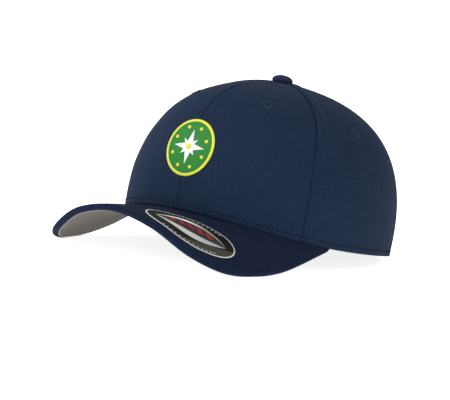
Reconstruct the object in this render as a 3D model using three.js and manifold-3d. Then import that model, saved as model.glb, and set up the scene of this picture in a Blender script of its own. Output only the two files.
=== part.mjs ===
import * as THREE from 'three';
import { mergeVertices } from 'three/addons/utils/BufferGeometryUtils.js';
import Module from 'manifold-3d';

const wasm = await Module();
wasm.setup();

// A stretch cap with six panels, a closed back and a curved peak. Millimetres and degrees.
// Its own axes: x to the wearer's left, y to the back, z up from the rim.
// An angle round the head counts from the front centre, positive to the wearer's left.

const CLOTH_GAP = 0.3;

// The rim is a slightly squared oval: the power is 2 for a true ellipse.
const RIM = { halfWidth: 80, halfLength: 96, power: 2.16 };

const CROWN = { height: 96, apexBack: -9, wall: 1.8, seamGap: 0.3, ring: 0.975 };

// Profile of the crown, from rim to apex, at four angles round the head.
// rim: height of the rim. lean: how far the wall leans in at the rim.
// rise and shoulder: how long the curve keeps its direction from the rim and from the apex.
// dip: how steeply the cloth leaves the apex.
const PROFILES = [
  { angle: 0, rim: 1.0, lean: -7, rise: 0.86, shoulder: 0.63, dip: 9 },
  { angle: 60, rim: -3.4, lean: -6, rise: 0.42, shoulder: 0.83, dip: 3 },
  { angle: 120, rim: 0, lean: -3, rise: 0.63, shoulder: 0.76, dip: 0 },
  { angle: 180, rim: 0, lean: 0, rise: 0.61, shoulder: 0.65, dip: 2 },
];

// Seams run up the crown at these angles. The front side seam bows to the front and back again.
const SEAMS = {
  frontCentre: { angle: 0, bow: 0 },
  frontSide: { angle: 58, bow: -2 },
  sideBack: { angle: 120, bow: 0 },
  backCentre: { angle: 180, bow: 0 },
};

const PANELS = [
  { name: 'front', from: 'frontCentre', to: 'frontSide', eyeletAngle: 29.5, eyeletUp: 0.59 },
  { name: 'side', from: 'frontSide', to: 'sideBack', eyeletAngle: 88, eyeletUp: 0.587 },
  { name: 'back', from: 'sideBack', to: 'backCentre', eyeletAngle: 150, eyeletUp: 0.585 },
];
const PANEL_GRID = { columns: 8, rows: 12 };

// A worked eyelet: a ring outside, a barrel through the cloth and a flatter ring inside.
const EYELET = {
  radius: 3.6, bevel: 0.3, hole: 1.4, barrel: 2.0, rise: 0.6, crest: 0.9,
  innerRadius: 2.9, innerThick: 0.5, panelHole: 2.4, cutterLength: 12, sides: 14,
};

const BUTTON = { radius: 6.6, height: 4.7, shankRadius: 3.2, shankDepth: 2.4, lean: 3.5, sides: 20 };
// The button's dome from its foot to its top, in shares of its radius and height.
const BUTTON_DOME = [
  { out: 1, up: 0.3 },
  { out: 0.94, up: 0.62 },
  { out: 0.74, up: 0.86 },
  { out: 0.4, up: 0.97 },
  { out: 0, up: 1 },
];
const BUTTON_FOOT = 0.94;

// Top corner of the peak's outer edge, from the front middle to the root, where it meets the rim.
const PEAK_EDGE = [
  { across: 0, back: -161, height: -4.6 },
  { across: 29, back: -157, height: -10.2 },
  { across: 52, back: -144, height: -22.7 },
  { across: 69, back: -121, height: -28.5 },
  { across: 76, back: -83, height: -22.7 },
];
const PEAK = { rootAngle: 71, crownRise: 0.6, bluntEnd: 0.985, steadyEnd: 0.88, columns: 32 };

// Section of the peak from under the crown wall out to its rolled edge.
// out: 0 at the rim, 1 at the outer edge, -1 at the inside of the wall. top and bottom: depths.
const PEAK_SECTION = [
  { out: -1, top: 0, bottom: 2.7 },
  { out: 0, top: 0, bottom: 2.7 },
  { out: 0.25, top: 0, bottom: 2.7 },
  { out: 0.5, top: 0, bottom: 2.7 },
  { out: 0.75, top: 0, bottom: 2.7 },
  { out: 0.945, top: 0, bottom: 2.7 },
  { out: 0.953, top: 0, bottom: 4.0 },
  { out: 0.985, top: 0.35, bottom: 3.7 },
  { out: 1, top: 1.3, bottom: 2.7 },
];
const UNDER_SECTION = [
  { out: 0, top: 3.0, bottom: 3.9 },
  { out: 0.25, top: 3.0, bottom: 3.9 },
  { out: 0.5, top: 3.0, bottom: 3.9 },
  { out: 0.75, top: 3.0, bottom: 3.9 },
  { out: 0.93, top: 3.0, bottom: 3.9 },
];

const SWEATBAND = { foot: 1.8, height: 32, thick: 1.4, backJoint: 0.3, columns: 60, rows: 2 };

// Thin pieces laid on a surface: centre on it, half sizes, and the turn of the long side.
const BADGE = { up: 0.195, halfWidth: 17, halfHeight: 18.5, thick: 0.9, sides: 32, rings: 3 };
const STICKER = {
  angle: 21.2, out: 0.633, halfLong: 29.5, halfShort: 17.5, slant: 12.7, thick: 0.35, sides: 32, rings: 3,
};

// The cap stands on the two sides of its peak and on the back hem, which flattens a little there.
const REST = { tilt: 8.75 };
const FLOOR_BLOCK = { width: 400, depth: 20 };

const COLOURS = {
  navy: 0x1b2740,
  navyThread: 0x222f4a,
  grey: 0x8b8883,
  badge: 0x1c7a35,
  sticker: 0x2a2a2c,
  band: 0x1a2338,
};

// Small steps for slopes, and how often a search is repeated.
const NORMAL_STEP = 1e-3;
const LAY_STEP = 1e-4;
const LAY_ROUNDS = 8;
const HEIGHT_ROUNDS = 24;
const WELD = 1e-5;

const rad = THREE.MathUtils.degToRad;
const lerp = THREE.MathUtils.lerp;
const UP = new THREE.Vector3(0, 0, 1);

// A smooth curve round the head through one column of PROFILES, the same left and right.
function roundTheHead(column) {
  const last = PROFILES.length - 1;
  const share = (i) => (i === 0 || i === last ? 0.5 : 1);
  const waves = PROFILES.map((_, k) => {
    const sum = PROFILES.reduce(
      (total, row, j) => total + share(j) * row[column] * Math.cos((Math.PI * j * k) / last), 0);
    return (2 / last) * share(k) * sum;
  });
  return (turn) => waves.reduce((total, wave, k) => total + wave * Math.cos(k * turn), 0);
}

const profile = {
  rim: roundTheHead('rim'),
  lean: roundTheHead('lean'),
  rise: roundTheHead('rise'),
  shoulder: roundTheHead('shoulder'),
  dip: roundTheHead('dip'),
};

const APEX = new THREE.Vector3(0, CROWN.apexBack, CROWN.height);

function rimPoint(turn) {
  const [s, c] = [Math.sin(turn), Math.cos(turn)];
  const size = (Math.abs(c) ** RIM.power + Math.abs(s) ** RIM.power) ** (-1 / RIM.power);
  return new THREE.Vector3(RIM.halfWidth * s * size, -RIM.halfLength * c * size, profile.rim(turn));
}

// The crown's outer face: up is 0 at the rim and 1 at the apex.
function crownPoint(turn, up) {
  const start = rimPoint(turn);
  const outward = start.clone().sub(APEX).setZ(0);
  const reach = outward.length();
  outward.normalize();
  const lean = rad(profile.lean(turn));
  const dip = rad(profile.dip(turn));
  const rise = (CROWN.height - start.z) * profile.rise(turn);
  const low = start.clone()
    .addScaledVector(outward, -Math.sin(lean) * rise)
    .addScaledVector(UP, Math.cos(lean) * rise);
  const high = APEX.clone()
    .addScaledVector(outward, Math.cos(dip) * reach * profile.shoulder(turn))
    .addScaledVector(UP, -Math.sin(dip) * reach * profile.shoulder(turn));
  return new THREE.CubicBezierCurve3(start, low, high, APEX).getPoint(up);
}

// How far up the crown's curve a height above the rim lies.
function upAtHeight(turn, height) {
  const target = profile.rim(turn) + height;
  let [low, high] = [0, 1];
  for (let round = 0; round < HEIGHT_ROUNDS; round += 1) {
    const middle = (low + high) / 2;
    if (crownPoint(turn, middle).z < target) low = middle;
    else high = middle;
  }
  return (low + high) / 2;
}

const edgeCurve = (() => {
  const half = PEAK_EDGE.map((row) => new THREE.Vector3(row.across, row.back, row.height));
  half.push(rimPoint(rad(PEAK.rootAngle)));
  const mirrored = half.slice(1).reverse().map((point) => new THREE.Vector3(-point.x, point.y, point.z));
  return new THREE.CatmullRomCurve3([...mirrored, ...half], false, 'catmullrom', 0.5);
})();

// The peak's top face: out is 0 at the rim and 1 at the edge, and below 0 it runs level under the wall.
function peakPoint(turn, out) {
  const root = rimPoint(turn);
  const along = turn / rad(PEAK.rootAngle);
  if (out < 0) {
    const inward = new THREE.Vector3(-root.x, -root.y, 0).normalize();
    return root.addScaledVector(inward, -out * CROWN.wall);
  }
  const edge = edgeCurve.getPoint((along + 1) / 2);
  const hump = PEAK.crownRise * 4 * out * (1 - out) * (1 - along * along);
  return root.lerp(edge, out).addScaledVector(UP, hump);
}

// Unit normal of a surface, on the side that its two directions turn to.
function normalOf(surface, a, b, side = 1) {
  const da = surface(a + NORMAL_STEP, b).sub(surface(a - NORMAL_STEP, b));
  const db = surface(a, b + NORMAL_STEP).sub(surface(a, b - NORMAL_STEP));
  return da.cross(db).normalize().multiplyScalar(side);
}

const crownNormal = (turn, up) => normalOf(crownPoint, turn, up);

function peakNormal(turn, out) {
  const steady = rad(PEAK.rootAngle) * PEAK.steadyEnd;
  return normalOf(peakPoint, THREE.MathUtils.clamp(turn, -steady, steady), Math.max(out, 0.01), -1);
}

function crownInside(turn, up, depth) {
  return crownPoint(turn, up).addScaledVector(crownNormal(turn, up), -depth);
}

function peakInside(turn, out, depth) {
  return peakPoint(turn, out).addScaledVector(peakNormal(turn, out), -depth);
}

function geometryOf(points, faces) {
  const geometry = new THREE.BufferGeometry();
  const numbers = points.flatMap((p) => [p.x, p.y, p.z]);
  geometry.setAttribute('position', new THREE.Float32BufferAttribute(numbers, 3));
  geometry.setIndex(faces.flat());
  return geometry;
}

// A closed wall between two faces given as grids of points: top(i, j) and bottom(i, j).
function wallBetween(columns, rows, top, bottom) {
  const points = [];
  for (const face of [top, bottom]) {
    for (let j = 0; j <= rows; j += 1) {
      for (let i = 0; i <= columns; i += 1) points.push(face(i, j));
    }
  }
  const at = (layer, i, j) => layer * (columns + 1) * (rows + 1) + j * (columns + 1) + i;
  const faces = [];
  const quad = (a, b, c, d) => faces.push([a, b, c], [a, c, d]);
  for (let j = 0; j < rows; j += 1) {
    for (let i = 0; i < columns; i += 1) {
      quad(at(0, i, j), at(0, i + 1, j), at(0, i + 1, j + 1), at(0, i, j + 1));
      quad(at(1, i, j), at(1, i, j + 1), at(1, i + 1, j + 1), at(1, i + 1, j));
    }
  }
  for (let i = 0; i < columns; i += 1) {
    quad(at(1, i, 0), at(1, i + 1, 0), at(0, i + 1, 0), at(0, i, 0));
    quad(at(0, i, rows), at(0, i + 1, rows), at(1, i + 1, rows), at(1, i, rows));
  }
  for (let j = 0; j < rows; j += 1) {
    quad(at(0, 0, j), at(0, 0, j + 1), at(1, 0, j + 1), at(1, 0, j));
    quad(at(1, columns, j), at(1, columns, j + 1), at(0, columns, j + 1), at(0, columns, j));
  }
  return geometryOf(points, faces);
}

// A closed oval disc between two faces given by polar points: top(side, ring) and bottom(side, ring).
function discBetween(sides, rings, top, bottom) {
  const points = [];
  for (const face of [top, bottom]) {
    points.push(face(0, 0));
    for (let ring = 1; ring <= rings; ring += 1) {
      for (let side = 0; side < sides; side += 1) points.push(face(side, ring));
    }
  }
  const layerSize = 1 + sides * rings;
  const inLayer = (side, ring) => (ring === 0 ? 0 : 1 + (ring - 1) * sides + (side % sides));
  const at = (layer, side, ring) => layer * layerSize + inLayer(side, ring);
  const faces = [];
  for (let side = 0; side < sides; side += 1) {
    faces.push([at(0, 0, 0), at(0, side, 1), at(0, side + 1, 1)]);
    faces.push([at(1, 0, 0), at(1, side + 1, 1), at(1, side, 1)]);
    for (let ring = 1; ring < rings; ring += 1) {
      const [a, b] = [at(0, side, ring), at(0, side + 1, ring)];
      const [c, d] = [at(0, side + 1, ring + 1), at(0, side, ring + 1)];
      faces.push([a, d, c], [a, c, b]);
      faces.push([c, d, a].map((corner) => corner + layerSize));
      faces.push([b, c, a].map((corner) => corner + layerSize));
    }
    const [a, b] = [at(0, side, rings), at(0, side + 1, rings)];
    faces.push([a, a + layerSize, b + layerSize], [a, b + layerSize, b]);
  }
  return geometryOf(points, faces);
}

// Lays a flat pattern on a surface: finds the place on it straight over a point of the tangent plane.
function layOn(surface, normal, centre, slant) {
  const origin = surface(...centre);
  const facing = normal(...centre);
  const across = surface(centre[0] + NORMAL_STEP, centre[1]).sub(origin).normalize();
  across.addScaledVector(facing, -across.dot(facing)).normalize().applyAxisAngle(facing, slant);
  const along = facing.clone().cross(across);
  const offset = (place, x, y) => {
    const away = surface(...place).sub(origin);
    return [away.dot(across) - x, away.dot(along) - y];
  };
  return (x, y) => {
    const place = [...centre];
    for (let round = 0; round < LAY_ROUNDS; round += 1) {
      const [ex, ey] = offset(place, x, y);
      const [ax, ay] = offset([place[0] + LAY_STEP, place[1]], x, y);
      const [bx, by] = offset([place[0], place[1] + LAY_STEP], x, y);
      const [m11, m12] = [(ax - ex) / LAY_STEP, (bx - ex) / LAY_STEP];
      const [m21, m22] = [(ay - ey) / LAY_STEP, (by - ey) / LAY_STEP];
      const det = m11 * m22 - m12 * m21;
      place[0] -= (m22 * ex - m12 * ey) / det;
      place[1] -= (m11 * ey - m21 * ex) / det;
    }
    return place;
  };
}

function toSolid(geometry) {
  const bare = geometry.clone();
  bare.deleteAttribute('normal');
  bare.deleteAttribute('uv');
  const merged = mergeVertices(bare, WELD);
  const vertProperties = new Float32Array(merged.attributes.position.array);
  const triVerts = new Uint32Array(merged.index.array);
  return new wasm.Manifold(new wasm.Mesh({ numProp: 3, vertProperties, triVerts }));
}

function fromSolid(solid) {
  const mesh = solid.getMesh();
  const geometry = new THREE.BufferGeometry();
  geometry.setAttribute('position', new THREE.BufferAttribute(new Float32Array(mesh.vertProperties), 3));
  geometry.setIndex(Array.from(mesh.triVerts));
  return geometry;
}

function cloth(colour, roughness = 0.85) {
  return new THREE.MeshStandardMaterial({ color: colour, roughness, metalness: 0 });
}

function meshOf(name, geometry, material) {
  const mesh = new THREE.Mesh(geometry, material);
  mesh.name = name;
  return mesh;
}

// Turns a piece made along +Z so that it stands on a surface.
function standOn(object, point, normal) {
  object.position.copy(point);
  object.quaternion.setFromUnitVectors(UP, normal);
  object.updateMatrix();
  return object;
}

const cap = new THREE.Group();
cap.rotation.x = -rad(REST.tilt);

const SIDES = [
  { name: 'left', sign: 1 },
  { name: 'right', sign: -1 },
];

function seamAngle(seam, up) {
  return rad(seam.angle + seam.bow * Math.sin(2 * Math.PI * up));
}

function panelGeometry(panel, sign) {
  const { columns, rows } = PANEL_GRID;
  const place = (i, j) => {
    const footAngle = lerp(SEAMS[panel.from].angle, SEAMS[panel.to].angle, i / columns);
    const foot = upAtHeight(rad(footAngle), CLOTH_GAP);
    const up = lerp(foot, CROWN.ring, j / rows);
    const middle = crownPoint(seamAngle(SEAMS[panel.from], up), up);
    const reach = Math.hypot(middle.x, middle.y - CROWN.apexBack);
    const inset = CROWN.seamGap / 2 / reach;
    const from = seamAngle(SEAMS[panel.from], up) + inset;
    const to = seamAngle(SEAMS[panel.to], up) - inset;
    return [lerp(from, to, i / columns), up];
  };
  // The right side is built mirrored, so its columns run the other way.
  const column = (i) => (sign > 0 ? i : columns - i);
  const face = (depth) => (i, j) => {
    const [turn, up] = place(column(i), j);
    return crownInside(sign * turn, up, depth);
  };
  return wallBetween(columns, rows, face(0), face(CROWN.wall));
}

// A section of [radius, height] points, turned round the Z axis.
function turned(section, sides) {
  const points = section.map(([radius, height]) => new THREE.Vector2(radius, height));
  return new THREE.LatheGeometry(points, sides).rotateX(Math.PI / 2);
}

function eyeletGeometry() {
  const { radius, bevel, hole, barrel, rise, crest, innerRadius, innerThick } = EYELET;
  const inner = -CROWN.wall - 2 * CLOTH_GAP;
  const section = [
    [hole, inner - innerThick], [innerRadius, inner - innerThick], [innerRadius, inner],
    [barrel, inner], [barrel, CLOTH_GAP], [radius, CLOTH_GAP], [radius - bevel, rise],
    [(radius + hole) / 2, crest], [hole, rise],
  ];
  return turned([...section, section[0]], EYELET.sides);
}

function eyeletCutter(point, normal) {
  const { panelHole, cutterLength, sides } = EYELET;
  const cutter = new THREE.Mesh(new THREE.CylinderGeometry(panelHole, panelHole, cutterLength, sides));
  cutter.geometry.rotateX(Math.PI / 2);
  standOn(cutter, point, normal);
  return cutter.geometry.applyMatrix4(cutter.matrix);
}

function buttonGeometry() {
  const { radius, height, shankRadius, shankDepth } = BUTTON;
  const section = [
    [0, -shankDepth], [shankRadius, -shankDepth], [shankRadius, CLOTH_GAP],
    [radius * BUTTON_FOOT, CLOTH_GAP],
    ...BUTTON_DOME.map(({ out, up }) => [radius * out, height * up]),
  ];
  return turned(section, BUTTON.sides);
}

// One layer of the peak, which may stop some columns short of the peak's two ends.
function peakGeometry(section, short) {
  const last = rad(PEAK.rootAngle) * PEAK.bluntEnd;
  const turn = (i) => lerp(-last, last, (i + short) / PEAK.columns);
  const face = (depth) => (i, j) => peakInside(turn(i), section[j].out, section[j][depth]);
  return wallBetween(PEAK.columns - 2 * short, section.length - 1, face('bottom'), face('top'));
}

function sweatbandGeometry() {
  const { foot, height, thick, backJoint, columns, rows } = SWEATBAND;
  const half = Math.PI - backJoint / 2 / RIM.halfLength;
  const face = (depth) => (i, j) => {
    const turn = lerp(-half, half, i / columns);
    return crownInside(turn, upAtHeight(turn, lerp(foot, height, j / rows)), depth);
  };
  const outside = CROWN.wall + 2 * CLOTH_GAP;
  return wallBetween(columns, rows, face(outside), face(outside + thick));
}

function laidDisc(surface, normal, centre, size) {
  const lay = layOn(surface, normal, centre, rad(size.slant ?? 0));
  const face = (lift) => (side, ring) => {
    const angle = (2 * Math.PI * side) / size.sides;
    const share = ring / size.rings;
    const place = lay(size.halfAcross * share * Math.cos(angle), size.halfAlong * share * Math.sin(angle));
    return surface(...place).addScaledVector(normal(...place), lift);
  };
  return discBetween(size.sides, size.rings, face(CLOTH_GAP + size.thick), face(CLOTH_GAP));
}

function badgeGeometry() {
  const size = { ...BADGE, halfAcross: BADGE.halfWidth, halfAlong: BADGE.halfHeight };
  return laidDisc(crownPoint, crownNormal, [0, BADGE.up], size);
}

function stickerGeometry() {
  const size = { ...STICKER, halfAcross: STICKER.halfLong, halfAlong: STICKER.halfShort };
  return laidDisc(peakPoint, peakNormal, [rad(STICKER.angle), STICKER.out], size);
}

cap.add(meshOf('peak_top', peakGeometry(PEAK_SECTION, 0), cloth(COLOURS.navy)));
cap.add(meshOf('peak_under', peakGeometry(UNDER_SECTION, 1), cloth(COLOURS.grey)));
cap.updateMatrixWorld(true);

// Height of the floor under the peak's lowest points.
const peakBox = new THREE.Box3().setFromObject(cap, true);
const floorHeight = peakBox.min.z;

// Everything below the floor, in the cap's own axes.
const belowFloor = new THREE.BoxGeometry(FLOOR_BLOCK.width, FLOOR_BLOCK.width, FLOOR_BLOCK.depth)
  .translate(0, 0, floorHeight - FLOOR_BLOCK.depth / 2)
  .applyMatrix4(cap.matrixWorld.clone().invert());

for (const { name: sideName, sign } of SIDES) {
  for (const panel of PANELS) {
    const place = [sign * rad(panel.eyeletAngle), panel.eyeletUp];
    const point = crownPoint(...place);
    const normal = crownNormal(...place);
    let solid = toSolid(panelGeometry(panel, sign)).subtract(toSolid(eyeletCutter(point, normal)));
    if (panel.name === 'back') solid = solid.subtract(toSolid(belowFloor));
    cap.add(meshOf(`panel_${panel.name}_${sideName}`, fromSolid(solid), cloth(COLOURS.navy)));
    const thread = cloth(COLOURS.navyThread, 0.7);
    const eyelet = meshOf(`eyelet_${panel.name}_${sideName}`, eyeletGeometry(), thread);
    cap.add(standOn(eyelet, point, normal));
  }
}

cap.add(meshOf('sweatband', sweatbandGeometry(), cloth(COLOURS.band)));
cap.add(meshOf('front_badge', badgeGeometry(), cloth(COLOURS.badge, 0.6)));
cap.add(meshOf('peak_sticker', stickerGeometry(), cloth(COLOURS.sticker, 0.3)));

const buttonUp = UP.clone().applyAxisAngle(new THREE.Vector3(1, 0, 0), rad(BUTTON.lean));
cap.add(standOn(meshOf('button', buttonGeometry(), cloth(COLOURS.navy)), APEX, buttonUp));

// The origin lies on the floor under the middle of the cap's outline.
cap.updateMatrixWorld(true);
const outline = new THREE.Box3().setFromObject(cap, true);
cap.position.set(0, -(outline.min.y + outline.max.y) / 2, -floorHeight);

const model = new THREE.Group();
model.add(cap);

export default model;
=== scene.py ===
import math

import bmesh
import bpy
import numpy as np
from mathutils import Matrix, Vector


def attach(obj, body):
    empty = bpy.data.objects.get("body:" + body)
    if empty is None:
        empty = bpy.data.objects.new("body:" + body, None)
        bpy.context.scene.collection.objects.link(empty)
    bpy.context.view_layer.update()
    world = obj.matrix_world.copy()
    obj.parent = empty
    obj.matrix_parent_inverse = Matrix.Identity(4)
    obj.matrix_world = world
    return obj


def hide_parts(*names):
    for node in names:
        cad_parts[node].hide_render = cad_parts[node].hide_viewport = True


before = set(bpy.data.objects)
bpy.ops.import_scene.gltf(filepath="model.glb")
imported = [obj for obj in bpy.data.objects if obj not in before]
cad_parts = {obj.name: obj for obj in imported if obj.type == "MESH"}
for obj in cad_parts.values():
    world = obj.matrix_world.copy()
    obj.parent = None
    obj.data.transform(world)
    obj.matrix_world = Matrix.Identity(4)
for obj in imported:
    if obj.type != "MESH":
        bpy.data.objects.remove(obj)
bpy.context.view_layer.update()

bl_info = {
    "name": "Six-panel cap",
    "version": (1, 0, 0),
    "blender": (4, 5, 0),
    "location": "3D View > Sidebar > Cap",
    "description": "Sews a six-panel stretch cap with a curved peak, piece by piece",
    "category": "Add Mesh",
}

BODY = "root"
MM = 0.001

# The cap's own axes are in millimetres: x to the wearer's left, y to the back, z up from the rim.
# An angle round the head counts from the front centre, positive to the wearer's left.
REST = {"tilt": 8.75, "back": 31.8156, "lift": 13.2588}
CLOTH_GAP = 0.3
FOOT_GAP = 0.05
RIM = {"half_width": 80.0, "half_length": 96.0, "power": 2.16}
CROWN = {"height": 96.0, "apex_back": -9.0, "ring": 0.975}
APEX = np.array([0.0, CROWN["apex_back"], CROWN["height"]])
UPWARD = np.array([0.0, 0.0, 1.0])
# A place inside the crown, in the shared frame, that tells the outside from the inside.
HEAD_MIDDLE = (0.0, 0.03, 0.04)

# Profile of the crown from rim to apex, at four angles round the head.
# lean: how far the wall leans in at the rim. dip: how steeply the cloth leaves the apex.
# rise and shoulder: how long the curve keeps its direction from the rim and from the apex.
PROFILES = [
    {"angle": 0, "rim": 1.0, "lean": -7, "rise": 0.86, "shoulder": 0.63, "dip": 9},
    {"angle": 60, "rim": -3.4, "lean": -6, "rise": 0.42, "shoulder": 0.83, "dip": 3},
    {"angle": 120, "rim": 0.0, "lean": -3, "rise": 0.63, "shoulder": 0.76, "dip": 0},
    {"angle": 180, "rim": 0.0, "lean": 0, "rise": 0.61, "shoulder": 0.65, "dip": 2},
]
SEAMS = {
    "front_centre": {"angle": 0, "bow": 0, "foot": 0, "depth": 0.4},
    "front_side": {"angle": 58, "bow": -2, "foot": -1.7, "depth": 1},
    "side_back": {"angle": 120, "bow": 0, "foot": 0, "depth": 1},
    "back_centre": {"angle": 180, "bow": 0, "foot": 0, "depth": 1},
}
PANELS = [
    {"name": "front", "from": "front_centre", "to": "front_side", "eyelet": (29.5, 0.59)},
    {"name": "side", "from": "front_side", "to": "side_back", "eyelet": (88, 0.587)},
    {"name": "back", "from": "side_back", "to": "back_centre", "eyelet": (150, 0.585)},
]
SIDES = {"left": 1, "right": -1}

# Top corner of the peak's outer edge, from the front middle to the root, where it meets the rim.
PEAK_EDGE = [
    (0, -161, -4.6), (29, -157.8, -10.3), (52.8, -144.9, -23.1), (68.5, -121.4, -28.8), (75.9, -82.2, -22.7)]
PEAK = {"crown_rise": 0.6, "blunt_end": 0.985, "steady_end": 0.88}
PEAK_ROOT = math.radians(71.0)
PEAK_END = PEAK_ROOT * PEAK["blunt_end"]


def round_the_head(column):
    """A smooth curve round the head through one column of PROFILES, the same left and right."""
    turns = np.radians([row["angle"] for row in PROFILES])
    waves = np.linalg.solve(np.cos(np.outer(turns, range(len(PROFILES)))), [row[column] for row in PROFILES])
    return lambda turn: sum(wave * np.cos(k * turn) for k, wave in enumerate(waves))


PROFILE = {column: round_the_head(column) for column in ("rim", "lean", "rise", "shoulder", "dip")}


def cloth(size):
    """One of the cloth's sizes, in millimetres."""
    return getattr(bpy.context.scene.cap_cloth, size) / MM


def rim_point(turn):
    """A point on the rim, at an angle round the head in radians."""
    s, c = np.sin(turn), np.cos(turn)
    size = (np.abs(c) ** RIM["power"] + np.abs(s) ** RIM["power"]) ** (-1 / RIM["power"])
    return np.stack([RIM["half_width"] * s * size, -RIM["half_length"] * c * size, PROFILE["rim"](turn)], -1)


def crown_point(turn, up):
    """The crown's outer face: up is 0 at the rim and 1 at the apex."""
    turn, up = np.broadcast_arrays(np.asarray(turn, float), np.asarray(up, float))
    start = rim_point(turn)
    outward = (start - APEX) * (1, 1, 0)
    reach = np.linalg.norm(outward, axis=-1)
    outward = outward / reach[..., None]
    lean, dip = np.radians(PROFILE["lean"](turn)), np.radians(PROFILE["dip"](turn))
    rise = (CROWN["height"] - start[..., 2]) * PROFILE["rise"](turn)
    level = reach * PROFILE["shoulder"](turn)
    low = start + (-np.sin(lean) * rise)[..., None] * outward + (np.cos(lean) * rise)[..., None] * UPWARD
    high = APEX + (np.cos(dip) * level)[..., None] * outward - (np.sin(dip) * level)[..., None] * UPWARD
    t = up[..., None]
    return (1 - t) ** 3 * start + 3 * (1 - t) ** 2 * t * low + 3 * (1 - t) * t * t * high + t ** 3 * APEX


def up_at_height(turn, height):
    """How far up the crown's curve a height above the rim lies."""
    turn, height = np.broadcast_arrays(np.asarray(turn, float), np.asarray(height, float))
    target = PROFILE["rim"](turn) + height
    low, high = np.zeros(turn.shape), np.ones(turn.shape)
    for _ in range(24):
        middle = (low + high) / 2
        below = crown_point(turn, middle)[..., 2] < target
        low, high = np.where(below, middle, low), np.where(below, high, middle)
    return (low + high) / 2


def edge_curve():
    """The peak's outer edge as a function from 0 at one root, through the front, to 1 at the other."""
    half = [np.array(point, float) for point in PEAK_EDGE] + [rim_point(PEAK_ROOT)]
    points = np.array([point * (-1, 1, 1) for point in half[:0:-1]] + half)
    points = np.concatenate([[2 * points[0] - points[1]], points, [2 * points[-1] - points[-2]]])

    def at(share):
        place = np.clip(share, 0, 1) * (len(points) - 3)
        i = np.minimum(place.astype(int), len(points) - 4)
        t = (place - i)[..., None]
        a, b, c, d = (points[i + k] for k in range(4))
        return b + t * ((c - a) / 2 + t * (a - 2.5 * b + 2 * c - d / 2 + t * (1.5 * (b - c) + (d - a) / 2)))

    return at


PEAK_EDGE_CURVE = edge_curve()


def peak_point(turn, out):
    """The peak's top face: out is 0 at the rim, 1 at the edge, and below 0 it runs level under the wall."""
    turn, out = np.broadcast_arrays(np.asarray(turn, float), np.asarray(out, float))
    root = rim_point(turn)
    along = turn / PEAK_ROOT
    beyond = np.maximum(out, 0)
    hump = PEAK["crown_rise"] * 4 * beyond * (1 - beyond) * (1 - along * along)
    point = root + (PEAK_EDGE_CURVE((along + 1) / 2) - root) * beyond[..., None] + hump[..., None] * UPWARD
    inward = root * (-1, -1, 0)
    inward = inward / np.linalg.norm(inward, axis=-1, keepdims=True)
    return point + inward * (np.maximum(-out, 0) * cloth("wall"))[..., None]


def normal_of(surface, a, b, side=1):
    """Unit normal of a surface, on the side that its two directions turn to."""
    step = 1e-3
    across = surface(a + step, b) - surface(a - step, b)
    along = surface(a, b + step) - surface(a, b - step)
    normal = np.cross(across, along) * side
    return normal / np.linalg.norm(normal, axis=-1, keepdims=True)


def crown_normal(turn, up):
    return normal_of(crown_point, turn, up)


def peak_normal(turn, out):
    """The peak's normal, which stays steady close to its two corners."""
    steady = PEAK_ROOT * PEAK["steady_end"]
    return normal_of(peak_point, np.clip(turn, -steady, steady), np.maximum(out, 0.01), -1)


def on_crown(turn, up, lift):
    """A place on the crown, raised by a lift in millimetres."""
    return crown_point(turn, up) + crown_normal(turn, up) * np.asarray(lift, float)[..., None]


def on_peak(turn, out, lift):
    """A place on the peak, raised by a lift in millimetres."""
    return peak_point(turn, out) + peak_normal(turn, out) * np.asarray(lift, float)[..., None]


def to_frame(points):
    """Turns places on the cap, in its own millimetres, into the shared frame in metres."""
    tilt = math.radians(-REST["tilt"])
    c, s = math.cos(tilt), math.sin(tilt)
    x, y, z = np.moveaxis(np.asarray(points, float), -1, 0)
    return np.stack([x, y * c - z * s + REST["back"], y * s + z * c + REST["lift"]], -1) * MM


def turn_normals(normals):
    """Turns directions on the cap into the shared frame."""
    return (to_frame(normals) - to_frame(np.zeros(3))) / MM


def bump_at(distance, width, steepness=2):
    """A rise of 1 at a distance of 0, that has died away two widths off, with steeper sides if asked."""
    return np.exp(-np.abs(distance / width) ** steepness)


def smooth_step(value, start, end):
    t = np.clip((value - start) / (end - start), 0, 1)
    return t * t * (3 - 2 * t)


def ridges(place):
    """Smooth ridges from 0 to 1, one for each unit of a place."""
    return 0.5 - 0.5 * np.cos(2 * np.pi * place)


def lay_on(surface, normal, centre, slant, xy):
    """Lays a flat pattern on a surface: the places straight over points of the tangent plane."""
    a0, b0 = centre
    origin = surface(a0, b0)
    upright = normal(a0, b0)
    across = surface(a0 + 1e-3, b0) - origin
    across -= upright * (across @ upright)
    across /= np.linalg.norm(across)
    across = across * math.cos(slant) + np.cross(upright, across) * math.sin(slant)
    along = np.cross(upright, across)
    a, b = np.full(len(xy), float(a0)), np.full(len(xy), float(b0))
    step = 1e-4

    def miss(a, b):
        away = surface(a, b) - origin
        return away @ across - xy[:, 0], away @ along - xy[:, 1]

    for _ in range(8):
        ex, ey = miss(a, b)
        ax, ay = miss(a + step, b)
        bx, by = miss(a, b + step)
        m11, m12, m21, m22 = (ax - ex) / step, (bx - ex) / step, (ay - ey) / step, (by - ey) / step
        det = m11 * m22 - m12 * m21
        a, b = a - (m22 * ex - m12 * ey) / det, b - (m11 * ey - m21 * ex) / det
    return a, b


# Meshes and pieces

def mesh_of(name, bm):
    """Makes a bmesh a mesh, and frees it."""
    mesh = bpy.data.meshes.new(name)
    bm.to_mesh(mesh)
    bm.free()
    return mesh


def put_in_scene(name, data):
    made = bpy.data.objects.new(name, data)
    bpy.context.scene.collection.objects.link(made)
    return made


def join(bm, other):
    """Adds one bmesh to another, and frees it."""
    mesh = mesh_of("joined", other)
    bm.from_mesh(mesh)
    bpy.data.meshes.remove(mesh)


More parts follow.
